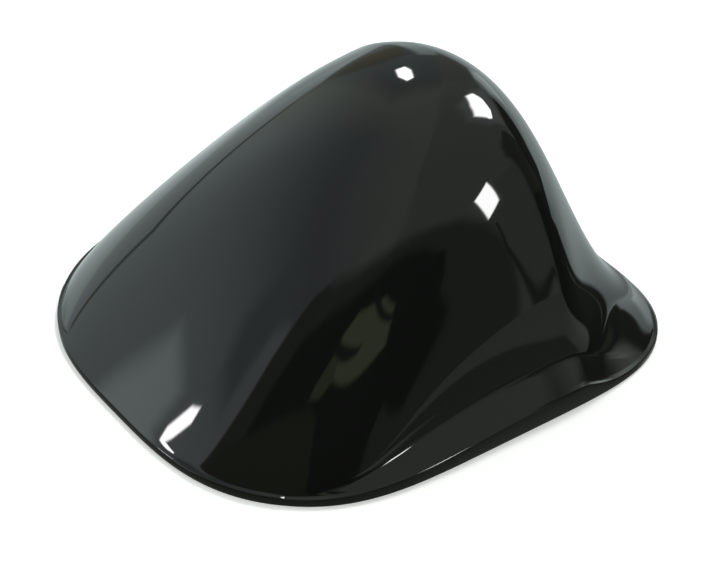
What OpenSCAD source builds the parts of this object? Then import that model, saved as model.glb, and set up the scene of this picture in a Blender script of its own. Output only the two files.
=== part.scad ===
// Seat cowl for a motorcycle: one gloss moulding that covers the rear seat, low and round at
// the tail, tall at the front, with a steep front face that flares into its foot and a shelf
// along each side. Two steel stays under it carry the front tongue and the lock striker.
// X points to the front, Y to the left, Z up. The rim stands on z = 0.

/* [Shell] */
// Length from the tail rim to the front rim
shell_len = 315; // [303:1:327]
// Width at the widest part of the rim
shell_w = 300; // [290:1:310]
// Height of the crown above the rim plane
crown_h = 145.5; // [136:0.5:154]
// Place of the crown along the length, 0 at the middle and 1 at the front
crown_at = 0.505; // [0.48:0.005:0.54]
// Wall thickness of the moulding
wall = 2.5; // [2.1:0.1:2.9]
// Radius of the rim's outer edge
edge_r = 1; // [0.6:0.1:1.6]

/* [Curves] */
// Squareness of the tail in plan
tail_square = 3.15; // [2.8:0.05:3.6]
// Squareness of the front in plan
front_square = 5.9; // [5.2:0.1:6.6]
// Fullness of the back slope, 1 is a plain parabola
back_full = 1.08; // [1.02:0.01:1.16]
// How far the front face flares into its foot
front_flare = 1.66; // [1.54:0.02:1.78]
// Share of a straight slope that the front face keeps down to its foot
foot_slope = 0.2; // [0.12:0.01:0.28]
// Share of a plain arch in the cross section, the rest is squarer
arch_share = 0.53; // [0.42:0.01:0.64]
// Steepness of the side walls, lower is steeper
side_steep = 0.8; // [0.72:0.01:0.9]
// How far the side walls flare out towards the front corners
corner_flare = 3.8; // [3.4:0.05:4.2]
// Share of a plain slope that the front corners keep down to the rim
corner_slope = 0.15; // [0.05:0.01:0.25]

/* [Side shelf] */
// Width of the shelf at its widest
shelf_w = 19.9; // [18:0.1:22]
// Height of the shelf's outer edge at its highest
shelf_h = 13; // [12:0.1:14]
// Rise of the shelf from its outer edge to the crease
shelf_rise = 8.6; // [7.7:0.1:9.5]
// Radius of the crease between the side wall and the shelf
crease_r = 1.6; // [1.2:0.1:3]
// Height of the rim's edge at the tail and the front corners
lip_h = 4; // [3.6:0.1:4.6]

/* [Fixings] */
// Height of the front stay's seat on its bosses
front_seat_z = 7; // [6.6:0.1:7.4]
// Distance of the lock stay behind the middle of the shell
lock_x = 88; // [80:1:96]
// Half the distance between the lock stay's bosses
lock_y = 46; // [40:1:52]
// Height of the lock stay's seat on its bosses
lock_seat_z = 30; // [28:0.5:32]
// Thickness of the steel stays
stay_t = 2.5; // [2:0.1:3]
// Width of the steel stays
stay_w = 22; // [20:0.5:26]
// Diameter of the striker rod
rod_d = 8; // [7:0.1:8.5]
// Diameter of the stay screws
screw_d = 5; // [4.6:0.1:5.2]

/* [Hidden] */
$fn = 48;
half_l = shell_len / 2;
half_w = shell_w / 2;
tail_side = 3.7;
front_side = 5.43;
taper = 0.026;
front_pow = 2.12;
flare_from = 0.438;
shelf_at = 0.29;
shelf_top_at = 0.43;
shelf_share = shelf_w / half_w;
rim_in = wall + 0.1;
in_long = rim_in / half_l;
in_wide = rim_in / half_w;
shelf_min = in_wide + 0.005;
n_long = 40;
n_arch = 16;
n_fillet = 3;
n_shelf = 2;
n_half = n_arch + n_fillet + n_shelf;
n_wide = 2 * n_half;
n_edge = 3;

boss_in = 3;
front_x = shelf_at * half_l;
front_y = half_w - shelf_w + boss_in;
boss_r = 6.2;
insert_r = screw_d / 2 + 1.1;
insert_len = 6;
insert_gap = 0.08;
hole_r = screw_d / 2 + 0.3;
buffer_hole_r = 4.2;
front_buffer_y = front_y - 45;
lock_buffer_y = lock_y - 18;
striker_y = 15;
striker_gap = 2;
tongue_w = 44;
tongue_out = 42;
tongue_r = 8;
pad_r = 8;
pad_bevel = 1.5;
pad_h = 3.6;
head_h = 3.2;

black = [0.035, 0.037, 0.038];
brass = [0.72, 0.58, 0.32];
steel = [0.62, 0.63, 0.65];
dark_steel = [0.3, 0.31, 0.32];
rubber = [0.07, 0.07, 0.075];

// small helpers
function ease(x) = let (c = min(1, max(0, x))) c * c * (3 - 2 * c);
function mix(a, b, k) = a + (b - a) * k;
function power(a, e) = a <= 0 ? 0 : pow(a, e);
function bell(x, at, back, front, e) = exp(-pow(abs(x - at) / (x < at ? back : front), e));
function unit(v) = v / norm(v);

// plan of the shell: p runs from the tail at -1 to the front at 1, q from the right at -1
// to the left at 1, and inset is how far inside the outline it lies
function plan(p, q, inset) =
    let (mx = mix(tail_square, front_square, ease((p + 1) / 2)),
         my = p < 0 ? tail_side : front_side)
    [(half_l - inset) * p * sqrt(1 - power(abs(q), mx) / (1 + mx / 2)),
     (half_w - inset) * q * (1 + taper * (p - 0.35)) * sqrt(1 - power(abs(p), my) / (1 + my / 2))];

// height of the middle line: the long back slope, then the front face down to its foot
function spine(p) =
    let (t = max(0, crown_at - p) / (1 + crown_at),
         u = min(1, max(0, p - crown_at) / (1 - crown_at)),
         k = back_full * pow((1 - crown_at) / (1 + crown_at), 2)
             / ((1 - foot_slope) * front_flare + foot_slope),
         f = 1 - k * u * u - (1 - k) * power(u, front_pow))
    lip_h + (crown_h - lip_h) * (p < crown_at
        ? 1 - back_full * t * t + (back_full - 1) * pow(t, 4)
        : (1 - foot_slope) * power(f, front_flare) + foot_slope * max(0, f));

// the shelf: its share of the half width, the height of its edge and of the crease
function shelf(p) = shelf_min + (shelf_share - shelf_min) * bell(p, shelf_at, 1, 0.452, 3);
function edge_z(p) = lip_h + (shelf_h - lip_h) * bell(p, shelf_top_at, 0.843, 0.15, 2);
function crease_z(p) = edge_z(p)
    + shelf_rise * (shelf(p) - shelf_min) / (shelf_share - shelf_min);

// the arch over the shelf: its height above the crease at e, 0 in the middle and 1 at the foot
function corner(p) = ease((p - flare_from) / (1 - flare_from));
function arch_pow(p) = side_steep + corner_flare * corner(p);
function arch_z(p, e) =
    let (k = corner_slope * corner(p),
         v = max(0, 1 - arch_share * e * e - (1 - arch_share) * pow(e, 4)))
    max(0, spine(p) - crease_z(p)) * ((1 - k) * power(v, arch_pow(p)) + k * v);
// where the arch has come down to the height h above the crease
function arch_foot(p, h) =
    let (v = min(1, power(h / max(h, spine(p) - crease_z(p)), 1 / arch_pow(p))), a = arch_share)
    sqrt(max(0, (sqrt(a * a + 4 * (1 - a) * (1 - v)) - a) / (2 * (1 - a))));

// one half section at p, from the middle line out to the skin's border, as [q, z] pairs
function half_section(p) =
    let (f = shelf(p), q0 = 1 - f, z0 = crease_z(p), fall = (edge_z(p) - z0) / f,
         reach = crease_r / half_w,
         e0 = max(arch_foot(p, crease_r), 1 - 1.5 * reach / q0),
         out = min(0.45 * (f - in_wide), reach),
         a = [e0 * q0, z0 + arch_z(p, e0)], c = [q0, z0],
         d = [q0 + out, z0 + fall * out], b = [1 - in_wide, z0 + fall * (f - in_wide)])
    concat(
        [for (i = [0 : n_arch]) let (e = e0 * (1 - pow(1 - i / n_arch, 1.35)))
            [e * q0, z0 + arch_z(p, e)]],
        [for (i = [1 : n_fillet]) let (t = i / n_fillet)
            (1 - t) * (1 - t) * a + 2 * t * (1 - t) * c + t * t * d],
        [for (i = [1 : n_shelf]) d + (b - d) * i / n_shelf]);

// lines across the shell, closer together over the front face
function line_p(i) = let (s = i / n_long) -1 + 2 * (s + 0.45 * s * (1 - s));
// the skin stops short of the outline, so close to its border the lines run with the rim
function inside_p(p) = p * (1 - in_long * pow(abs(p), 8));
function rim_q(q) = q + in_wide * pow(q / (1 - in_wide), 9);
function rim_share(p, q) = let (a = pow(p, 8), b = pow(q, 8)) a + b - a * b;

sections = [for (i = [0 : n_long]) half_section(inside_p(line_p(i)))];
function outer_point(i, j) =
    let (k = j - n_half, s = sections[i][abs(k)], p = line_p(i), q = sign(k) * rim_q(s[0]),
         xy = plan(p, q, rim_in * rim_share(p, q)))
    [xy[0], xy[1], s[1]];
outer = [for (i = [0 : n_long]) [for (j = [0 : n_wide]) outer_point(i, j)]];

// outward normal of the skin at a grid point
function skin_normal(i, j) =
    let (i0 = max(0, i - 1), i1 = min(n_long, i + 1), j0 = max(0, j - 1), j1 = min(n_wide, j + 1),
         end = (i == 0 || i == n_long), side = (j == 0 || j == n_wide),
         du = end && side ? outer[i1][j1] - outer[i0][j0] : outer[i1][j] - outer[i0][j],
         dv = end && side ? outer[i0][j1] - outer[i1][j0] : outer[i][j1] - outer[i][j0],
         n = unit(cross(du, dv)))
    n[2] < 0 ? -n : n;
// the skin moved inwards along its normal
function inner_skin(d) =
    [for (i = [0 : n_long]) [for (j = [0 : n_wide]) outer[i][j] - d * skin_normal(i, j)]];

// the rim, one entry for each grid point on the border, all the way round
border = concat(
    [for (i = [0 : n_long - 1]) [i, n_wide]],
    [for (j = [n_wide : -1 : 1]) [n_long, j]],
    [for (i = [n_long : -1 : 1]) [i, 0]],
    [for (j = [0 : n_wide - 1]) [0, j]]);
n_rim = len(border);
function border_plan(b, inset) = plan(line_p(b[0]),
    sign(b[1] - n_half) * rim_q(sections[b[0]][abs(b[1] - n_half)][0]), inset);
function inside_of(b) = outer[min(n_long - 1, max(1, b[0]))][min(n_wide - 1, max(1, b[1]))];
// edge of the rim: on along the skin to the outline, then round into the upright lip
function edge_points(b) =
    let (s = outer[b[0]][b[1]], n = inside_of(b), o = border_plan(b, 0),
         run = norm([n[0] - s[0], n[1] - s[1]]),
         fall = max(0, n[2] - s[2]) / max(run, 0.5) * rim_in,
         c = [o[0], o[1], max(s[2] - fall, 0.55 * s[2])],
         a = c + (s - c) * min(0.9, edge_r / norm(s - c)),
         l = [o[0], o[1], c[2] - edge_r])
    [for (k = [0 : n_edge]) let (t = k / n_edge)
        (1 - t) * (1 - t) * a + 2 * t * (1 - t) * c + t * t * l];

// triangles of a grid of points, facing up or down
function grid_faces(at, up) = [for (i = [0 : n_long - 1]) for (j = [0 : n_wide - 1])
    let (a = at + i * (n_wide + 1) + j, b = a + 1, c = a + n_wide + 1, d = c + 1)
    each (j < n_half
        ? (up ? [[a, b, c], [b, d, c]] : [[a, c, b], [b, c, d]])
        : (up ? [[a, b, d], [a, d, c]] : [[a, d, b], [a, c, d]]))];
// triangles between two closed rings of points
function ring_faces(lo, hi) = [for (k = [0 : n_rim - 1])
    let (m = (k + 1) % n_rim) each [[lo[k], hi[m], lo[m]], [lo[k], hi[k], hi[m]]]];
function border_ids(at) = [for (b = border) at + b[0] * (n_wide + 1) + b[1]];
function ring_ids(at) = [for (k = [0 : n_rim - 1]) at + k];

function flat(rows) = [for (r = rows) each r];

// the moulding itself: outer skin, edge of the rim, foot of the lip and inner skin
module thin_shell() {
    n_grid = (n_long + 1) * (n_wide + 1);
    rolls = [for (b = border) edge_points(b)];
    points = concat(
        flat(outer), flat(inner_skin(wall)),
        [for (k = [0 : n_edge]) each [for (r = rolls) r[k]]],
        [for (b = border) let (o = border_plan(b, 0)) [o[0], o[1], 0]],
        [for (b = border) let (o = border_plan(b, wall)) [o[0], o[1], 0]]);
    rings = concat([border_ids(0)], [for (k = [0 : n_edge + 2]) ring_ids(2 * n_grid + k * n_rim)],
                   [border_ids(n_grid)]);
    faces = concat(grid_faces(0, true), grid_faces(n_grid, false),
        [for (k = [0 : len(rings) - 2]) each ring_faces(rings[k], rings[k + 1])]);
    polyhedron(points, faces, convexity = 6);
}

// solid that fills the shell up to the middle of its wall, used to trim what stands inside
module core() {
    n_grid = (n_long + 1) * (n_wide + 1);
    top = flat(inner_skin(wall / 2));
    points = concat(top, [for (b = border) let (s = top[b[0] * (n_wide + 1) + b[1]])
        [s[0], s[1], -1]]);
    foot = ring_ids(n_grid);
    faces = concat(grid_faces(0, true), ring_faces(border_ids(0), foot),
        [[for (k = [n_rim - 1 : -1 : 0]) foot[k]]]);
    polyhedron(points, faces, convexity = 4);
}

module cowl_shell() {
    color(black) difference() {
        union() {
            thin_shell();
            intersection() {
                core();
                union() {
                    for (s = [-1, 1]) {
                        translate([front_x, s * front_y, front_seat_z])
                            cylinder(r = boss_r, h = 30);
                        translate([-lock_x, s * lock_y, lock_seat_z]) {
                            cylinder(r1 = boss_r, r2 = boss_r + 1.5, h = 90);
                            for (a = [45 : 90 : 315]) rotate(a) gusset();
                        }
                    }
                }
            }
        }
        for (s = [-1, 1]) {
            translate([front_x, s * front_y, front_seat_z - 1])
                cylinder(r = insert_r + insert_gap, h = insert_len + 1.6);
            translate([-lock_x, s * lock_y, lock_seat_z - 1])
                cylinder(r = insert_r + insert_gap, h = insert_len + 9);
        }
    }
}
// web between a tall boss and the roof above it
module gusset() {
    rotate([90, 0, 0]) translate([0, 0, -1.1]) linear_extrude(2.2)
        polygon([[boss_r - 1, 4], [boss_r + 1, 4], [boss_r + 22, 75], [boss_r - 1, 75]]);
}

// brass insert: knurled bands left plain, a groove between them and an open bore
module insert() {
    rotate_extrude() polygon([[screw_d / 2 + 0.05, 0], [insert_r - 0.3, 0], [insert_r, 0.4],
        [insert_r, 2.3], [insert_r - 0.4, 2.6], [insert_r - 0.4, 3.4], [insert_r, 3.7],
        [insert_r, insert_len - 0.4], [insert_r - 0.3, insert_len],
        [screw_d / 2 + 0.05, insert_len]]);
}
module at_bosses() {
    for (s = [-1, 1]) {
        translate([front_x, s * front_y, front_seat_z]) children();
        translate([-lock_x, s * lock_y, lock_seat_z]) children();
    }
}
module threaded_inserts() color(brass) at_bosses() insert();

// flat steel strap across the shell with round ends and a hole at each end
module strap(half) {
    difference() {
        union() {
            translate([-stay_w / 2, -half, 0]) cube([stay_w, 2 * half, stay_t]);
            for (s = [-1, 1]) translate([0, s * half, 0]) cylinder(d = stay_w, h = stay_t);
            children();
        }
        for (s = [-1, 1]) translate([0, s * half, -1]) cylinder(r = hole_r, h = stay_t + 2);
    }
}
module buffer_holes(y) {
    for (s = [-1, 1]) translate([0, s * y, -1]) cylinder(r = buffer_hole_r, h = stay_t + 2);
}
module front_stay() color(dark_steel) translate([front_x, 0, front_seat_z - stay_t])
    difference() {
        strap(front_y) {
            translate([0, -tongue_w / 2, 0])
                cube([stay_w / 2 + tongue_out - tongue_r, tongue_w, stay_t]);
            for (s = [-1, 1])
                translate([stay_w / 2 + tongue_out - tongue_r, s * (tongue_w / 2 - tongue_r), 0])
                    cylinder(r = tongue_r, h = stay_t);
            translate([0, tongue_r - tongue_w / 2, 0])
                cube([stay_w / 2 + tongue_out, tongue_w - 2 * tongue_r, stay_t]);
        }
        buffer_holes(front_buffer_y);
    }
module lock_stay() color(dark_steel) translate([-lock_x, 0, lock_seat_z - stay_t]) {
    difference() {
        strap(lock_y);
        buffer_holes(lock_buffer_y);
    }
    striker();
}
// striker: a rod bent to a U that hangs under the stay
module striker() {
    bend = rod_d;
    drop = lock_seat_z - stay_t - rod_d / 2 - striker_gap;
    for (s = [-1, 1]) {
        translate([0, s * striker_y, bend - drop]) cylinder(d = rod_d, h = drop - bend + 0.5);
        translate([0, s * (striker_y - bend), bend - drop]) rotate([90, 0, 90])
            rotate([0, 0, s > 0 ? -90 : 180]) rotate_extrude(angle = 90)
                translate([bend, 0]) circle(d = rod_d);
    }
    translate([0, bend - striker_y, -drop]) rotate([-90, 0, 0])
        cylinder(d = rod_d, h = 2 * (striker_y - bend));
}

// button head screw from below, with a hexagon socket
module screw() {
    difference() {
        union() {
            translate([0, 0, -stay_t]) rotate([180, 0, 0]) rotate_extrude()
                polygon([[0, 0], [screw_d, 0], [screw_d, 0.6], [0.9 * screw_d, 1.7],
                    [0.6 * screw_d, 2.6], [0, 2.8]]);
            translate([0, 0, -stay_t - 0.1]) cylinder(d = screw_d, h = stay_t + insert_len);
        }
        translate([0, 0, -stay_t - 3.8]) cylinder(d = 3.5, h = 2.6, $fn = 6);
    }
}
module stay_screws() color(steel) at_bosses() screw();

// rubber buffer: a pad under the stay, a neck in its hole and a barbed head above
module buffer() {
    low = -stay_t - pad_h;
    rotate_extrude() polygon([[0, low], [pad_r - pad_bevel, low], [pad_r, low + pad_bevel],
        [pad_r, -stay_t], [buffer_hole_r - 0.1, -stay_t], [buffer_hole_r - 0.1, 0],
        [buffer_hole_r + 1.2, 0], [buffer_hole_r - 0.8, head_h], [0, head_h]]);
}
module rubber_buffers() color(rubber) for (s = [-1, 1]) {
    translate([front_x, s * front_buffer_y, front_seat_z]) buffer();
    translate([-lock_x, s * lock_buffer_y, lock_seat_z]) buffer();
}

cowl_shell();
threaded_inserts();
front_stay();
lock_stay();
stay_screws();
rubber_buffers();
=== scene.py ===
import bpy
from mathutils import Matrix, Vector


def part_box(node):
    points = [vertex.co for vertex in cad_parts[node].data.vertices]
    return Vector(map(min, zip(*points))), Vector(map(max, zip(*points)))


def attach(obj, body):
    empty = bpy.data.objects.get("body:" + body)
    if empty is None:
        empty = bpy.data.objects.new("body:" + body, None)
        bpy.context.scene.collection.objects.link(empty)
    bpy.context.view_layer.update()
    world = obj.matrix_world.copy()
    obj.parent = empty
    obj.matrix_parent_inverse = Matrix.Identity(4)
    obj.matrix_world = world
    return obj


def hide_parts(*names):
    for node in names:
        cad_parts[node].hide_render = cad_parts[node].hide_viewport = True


bl_info = {
    "name": "Seat cowl",
    "version": (1, 0, 0),
    "blender": (4, 5, 0),
    "location": "3D View > Sidebar > Seat cowl",
    "description": "Builds the gloss seat cowl, what holds it underneath, and its studio",
    "category": "Add Mesh",
}

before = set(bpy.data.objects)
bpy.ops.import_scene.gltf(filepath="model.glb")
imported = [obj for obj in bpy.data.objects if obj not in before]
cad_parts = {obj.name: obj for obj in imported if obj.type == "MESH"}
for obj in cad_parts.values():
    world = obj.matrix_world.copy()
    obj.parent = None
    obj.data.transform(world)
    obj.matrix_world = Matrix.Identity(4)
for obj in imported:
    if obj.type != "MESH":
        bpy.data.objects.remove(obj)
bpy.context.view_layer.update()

import math
import bmesh
import bpy
import numpy as np
from bpy.props import FloatProperty, FloatVectorProperty, PointerProperty
from mathutils import Vector

MM = 0.001


def box_of(node):
    low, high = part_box(node)
    return Vector(low), Vector(high)


# Settings

class CowlShape(bpy.types.PropertyGroup):
    length: FloatProperty(name="Length", description="Tail rim to front rim",
                          default=0.315, min=0.3, max=0.33, unit="LENGTH")
    width: FloatProperty(name="Width", description="Widest part of the rim",
                         default=0.300, min=0.28, max=0.32, unit="LENGTH")
    crown_height: FloatProperty(name="Crown height", description="Crown above the rim plane",
                                default=0.1455, min=0.13, max=0.16, unit="LENGTH")
    crown_place: FloatProperty(name="Crown place", description="0 in the middle, 1 at the front",
                               default=0.505, min=0.4, max=0.6, subtype="FACTOR")
    wall: FloatProperty(name="Wall", description="Wall thickness of the moulding",
                        default=0.0025, min=0.002, max=0.004, unit="LENGTH")
    edge: FloatProperty(name="Rim edge", description="Radius of the rim's outer edge",
                        default=0.001, min=0.0005, max=0.002, unit="LENGTH")
    crease: FloatProperty(name="Crease radius", description="Between side wall and shelf",
                          default=0.0016, min=0.001, max=0.004, unit="LENGTH")
    shelf_width: FloatProperty(name="Shelf width", description="Side shelf at its widest",
                               default=0.0199, min=0.015, max=0.025, unit="LENGTH")
    shelf_height: FloatProperty(name="Shelf height", description="Outer edge at its highest",
                                default=0.0130, min=0.01, max=0.015, unit="LENGTH")
    shelf_rise: FloatProperty(name="Shelf rise", description="From the edge to the crease",
                              default=0.0086, min=0.005, max=0.01, unit="LENGTH")
    lip: FloatProperty(name="Lip", description="Height of the rim at tail and front",
                       default=0.004, min=0.003, max=0.006, unit="LENGTH")


class CowlFinish(bpy.types.PropertyGroup):
    gloss_black: FloatVectorProperty(name="Gloss black", description="Colour under the gloss",
                                     subtype="COLOR", size=3, default=(0.0042, 0.0045, 0.0044),
                                     min=0, max=1)
    inner_black: FloatVectorProperty(name="Inner black", description="Unpolished inner face",
                                     subtype="COLOR", size=3, default=(0.018, 0.018, 0.019),
                                     min=0, max=1)
    gloss_roughness: FloatProperty(name="Gloss roughness", description="Outer skin",
                                   default=0.035, min=0.0, max=0.3, subtype="FACTOR")
    # Painted sheen: a pale colour on the front ends of the side shelves that stands in for the
    # brighter reflection there
    dust: FloatVectorProperty(name="Painted sheen film", description="Film on the ends of the shelves",
                              subtype="COLOR", size=3, default=(0.062, 0.068, 0.063),
                              min=0, max=1)
    stay_black: FloatVectorProperty(name="Stay coating", description="Coated steel",
                                    subtype="COLOR", size=3, default=(0.022, 0.023, 0.025),
                                    min=0, max=1)
    zinc: FloatVectorProperty(name="Zinc", description="Plated screws", subtype="COLOR",
                              size=3, default=(0.60, 0.61, 0.62), min=0, max=1)
    brass: FloatVectorProperty(name="Brass", description="Inserts", subtype="COLOR", size=3,
                               default=(0.70, 0.52, 0.24), min=0, max=1)
    rubber: FloatVectorProperty(name="Rubber", description="Buffers", subtype="COLOR", size=3,
                                default=(0.020, 0.020, 0.021), min=0, max=1)


class CowlStudio(bpy.types.PropertyGroup):
    azimuth: FloatProperty(name="Azimuth", description="Camera direction, degrees",
                           default=-36.451)
    elevation: FloatProperty(name="Elevation", description="Camera height, degrees",
                             default=38.16)
    distance: FloatProperty(name="Distance", description="Camera to target", default=1.2,
                            unit="LENGTH")
    focal: FloatProperty(name="Focal length", description="In pixels of a 714 wide frame",
                         default=2097.5)
    target: FloatVectorProperty(name="Target", description="Point the camera looks at",
                                size=3, default=(-0.0140, -0.0348, 0.0500), subtype="XYZ")
    room_level: FloatProperty(name="Room level", description="Brightness of the room",
                              default=1.0, min=0)


def shape():
    return bpy.context.scene.cowl_shape


def finish():
    return bpy.context.scene.cowl_finish


def studio():
    return bpy.context.scene.cowl_studio


# Node helpers

def new_node(tree, kind, at=(0, 0), **values):
    node = tree.nodes.new(kind)
    node.location = at
    for key, value in values.items():
        setattr(node, key, value)
    return node


def math_node(tree, operation, a, b=None):
    node = new_node(tree, "ShaderNodeMath", operation=operation)
    for slot, value in enumerate((a, b)):
        if value is None:
            continue
        if isinstance(value, (int, float)):
            node.inputs[slot].default_value = value
        else:
            tree.links.new(value, node.inputs[slot])
    return node.outputs[0]


def smooth_range(tree, value, low, high, to_low=0.0, to_high=1.0):
    node = new_node(tree, "ShaderNodeMapRange", interpolation_type="SMOOTHSTEP")
    tree.links.new(value, node.inputs["Value"])
    node.inputs["From Min"].default_value = low
    node.inputs["From Max"].default_value = high
    node.inputs["To Min"].default_value = to_low
    node.inputs["To Max"].default_value = to_high
    return node.outputs["Result"]


def surface_group():
    """Fine unevenness shared by every finish: a grain height, a soft mottle and a dust mask."""
    tree = bpy.data.node_groups.get("Surface unevenness")
    if tree:
        return tree
    tree = bpy.data.node_groups.new("Surface unevenness", "ShaderNodeTree")
    face = tree.interface
    face.new_socket("Grain Scale", in_out="INPUT", socket_type="NodeSocketFloat")
    face.new_socket("Mottle Scale", in_out="INPUT", socket_type="NodeSocketFloat")
    face.new_socket("Grain", in_out="OUTPUT", socket_type="NodeSocketFloat")
    face.new_socket("Mottle", in_out="OUTPUT", socket_type="NodeSocketFloat")
    face.new_socket("Dust", in_out="OUTPUT", socket_type="NodeSocketFloat")
    ins = new_node(tree, "NodeGroupInput")
    outs = new_node(tree, "NodeGroupOutput")
    place = new_node(tree, "ShaderNodeTexCoord")
    grain = new_node(tree, "ShaderNodeTexNoise")
    grain.inputs["Detail"].default_value = 3.0
    mottle = new_node(tree, "ShaderNodeTexNoise")
    mottle.inputs["Detail"].default_value = 4.0
    specks = new_node(tree, "ShaderNodeTexVoronoi", feature="F1")
    specks.inputs["Scale"].default_value = 420.0
    for noise, scale in ((grain, "Grain Scale"), (mottle, "Mottle Scale")):
        tree.links.new(place.outputs["Object"], noise.inputs["Vector"])
        tree.links.new(ins.outputs[scale], noise.inputs["Scale"])
    tree.links.new(place.outputs["Object"], specks.inputs["Vector"])
    dust = smooth_range(tree, specks.outputs["Distance"], 0.05, 0.11, 1.0, 0.0)
    rare = smooth_range(tree, mottle.outputs["Fac"], 0.60, 0.72)
    tree.links.new(grain.outputs["Fac"], outs.inputs["Grain"])
    tree.links.new(mottle.outputs["Fac"], outs.inputs["Mottle"])
    tree.links.new(math_node(tree, "MULTIPLY", dust, rare), outs.inputs["Dust"])
    return tree


def make_material(name, colour, roughness, spread, metallic=0.0, grain=400.0, bump=0.02,
                  depth=0.0002, lighter=1.35, mottle=18.0, dust=0.0, ior=1.5):
    """A finish with its own colour mottle, roughness spread, grain bump and a little dust."""
    mat = bpy.data.materials.new(name)
    mat.use_nodes = True
    tree = mat.node_tree
    tree.nodes.clear()
    out = new_node(tree, "ShaderNodeOutputMaterial", (600, 0))
    skin = new_node(tree, "ShaderNodeBsdfPrincipled", (300, 0))
    tree.links.new(skin.outputs["BSDF"], out.inputs["Surface"])
    skin.inputs["Metallic"].default_value = metallic
    skin.inputs["IOR"].default_value = ior
    effect = new_node(tree, "ShaderNodeGroup", (-500, 0), node_tree=surface_group())
    effect.inputs["Grain Scale"].default_value = grain
    effect.inputs["Mottle Scale"].default_value = mottle
    tone = new_node(tree, "ShaderNodeMix", (-200, 200), data_type="RGBA")
    tone.inputs["A"].default_value = (*colour, 1)
    tone.inputs["B"].default_value = (*[min(1, c * lighter) for c in colour], 1)
    tree.links.new(effect.outputs["Mottle"], tone.inputs["Factor"])
    speck = new_node(tree, "ShaderNodeMix", (0, 200), data_type="RGBA")
    speck.inputs["B"].default_value = (0.30, 0.29, 0.27, 1)
    tree.links.new(tone.outputs["Result"], speck.inputs["A"])
    tree.links.new(math_node(tree, "MULTIPLY", effect.outputs["Dust"], dust),
                   speck.inputs["Factor"])
    tree.links.new(speck.outputs["Result"], skin.inputs["Base Color"])
    tree.links.new(smooth_range(tree, effect.outputs["Mottle"], 0.3, 0.7,
                                roughness - spread, roughness + spread),
                   skin.inputs["Roughness"])
    relief = new_node(tree, "ShaderNodeBump", (0, -200))
    relief.inputs["Strength"].default_value = bump
    relief.inputs["Distance"].default_value = depth
    tree.links.new(effect.outputs["Grain"], relief.inputs["Height"])
    tree.links.new(relief.outputs["Normal"], skin.inputs["Normal"])
    return mat


def painted_sheen_film(tree, colour):
    """Painted sheen on the front end of the side shelves, low, level places only: a paler base
    colour that stands in for a brighter reflection there.
    """
    place = new_node(tree, "ShaderNodeTexCoord")
    spot = new_node(tree, "ShaderNodeSeparateXYZ")
    tree.links.new(place.outputs["Object"], spot.inputs[0])
    slope = new_node(tree, "ShaderNodeSeparateXYZ")
    tree.links.new(place.outputs["Normal"], slope.inputs[0])
    low = smooth_range(tree, spot.outputs["Z"], 0.020, 0.0245, 1.0, 0.0)
    ahead = smooth_range(tree, spot.outputs["X"], 0.030, 0.085)
    flat = smooth_range(tree, slope.outputs["Z"], 0.84, 0.95)
    behind = smooth_range(tree, spot.outputs["X"], 0.096, 0.116, 1.0, 0.0)
    along = math_node(tree, "MULTIPLY", ahead, behind)
    mask = math_node(tree, "MULTIPLY", math_node(tree, "MULTIPLY", low, along), flat)
    skin = next(node for node in tree.nodes if node.type == "BSDF_PRINCIPLED")
    under = skin.inputs["Base Color"].links[0].from_socket
    film = new_node(tree, "ShaderNodeMix", (150, 200), data_type="RGBA")
    film.inputs["B"].default_value = (*colour, 1)
    tree.links.new(mask, film.inputs["Factor"])
    tree.links.new(under, film.inputs["A"])
    tree.links.new(film.outputs["Result"], skin.inputs["Base Color"])


def material(name):
    mat = bpy.data.materials.get(name)
    if mat:
        return mat
    look = finish()
    if name == "Gloss black skin":
        mat = make_material(name, look.gloss_black, look.gloss_roughness, 0.008, grain=60.0,
                            bump=0.010, depth=0.0002, lighter=1.25, mottle=9.0, dust=0.10)
        # painted sheen on the shelf ends, standing in for their brighter reflection
        painted_sheen_film(mat.node_tree, look.dust)
        return mat
    if name == "Moulded inner face":
        return make_material(name, look.inner_black, 0.42, 0.07, grain=1500.0, bump=0.35,
                             depth=0.0003, lighter=1.5, mottle=30.0, dust=0.25)
    if name == "Coated steel":
        return make_material(name, look.stay_black, 0.36, 0.06, grain=900.0, bump=0.12,
                             depth=0.0002, lighter=1.6, mottle=60.0, dust=0.15)
    if name == "Zinc plate":
        return make_material(name, look.zinc, 0.27, 0.07, metallic=1.0, grain=700.0, bump=0.06,
                             lighter=1.15, mottle=160.0)
    if name == "Turned brass":
        return make_material(name, look.brass, 0.24, 0.06, metallic=1.0, grain=900.0, bump=0.05,
                             lighter=1.15, mottle=200.0)
    if name == "Buffer rubber":
        return make_material(name, look.rubber, 0.72, 0.08, grain=1300.0, bump=0.3,
                             depth=0.0002, lighter=1.6, mottle=120.0, dust=0.3)
    raise RuntimeError("no finish is called " + name)


# Mesh helpers

def mesh_object(name, points, faces, mats, face_mats=None, smooth=True):
    mesh = bpy.data.meshes.new(name)
    mesh.from_pydata([tuple(p) for p in points], [], [tuple(int(i) for i in f) for f in faces])
    for mat in mats:
        mesh.materials.append(mat)
    if face_mats is not None:
        mesh.polygons.foreach_set("material_index", np.asarray(face_mats, dtype=np.int32))
    mesh.polygons.foreach_set("use_smooth", [smooth] * len(mesh.polygons))
    mesh.update()
    mesh.validate()
    obj = bpy.data.objects.new(name, mesh)
    bpy.context.scene.collection.objects.link(obj)
    return obj


def tidy_mesh(mesh, merge=1e-6):
    work = bmesh.new()
    work.from_mesh(mesh)
    bmesh.ops.remove_doubles(work, verts=work.verts, dist=merge)
    bmesh.ops.recalc_face_normals(work, faces=work.faces)
    work.to_mesh(mesh)
    work.free()
    mesh.update()


# The shell's surface

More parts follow.
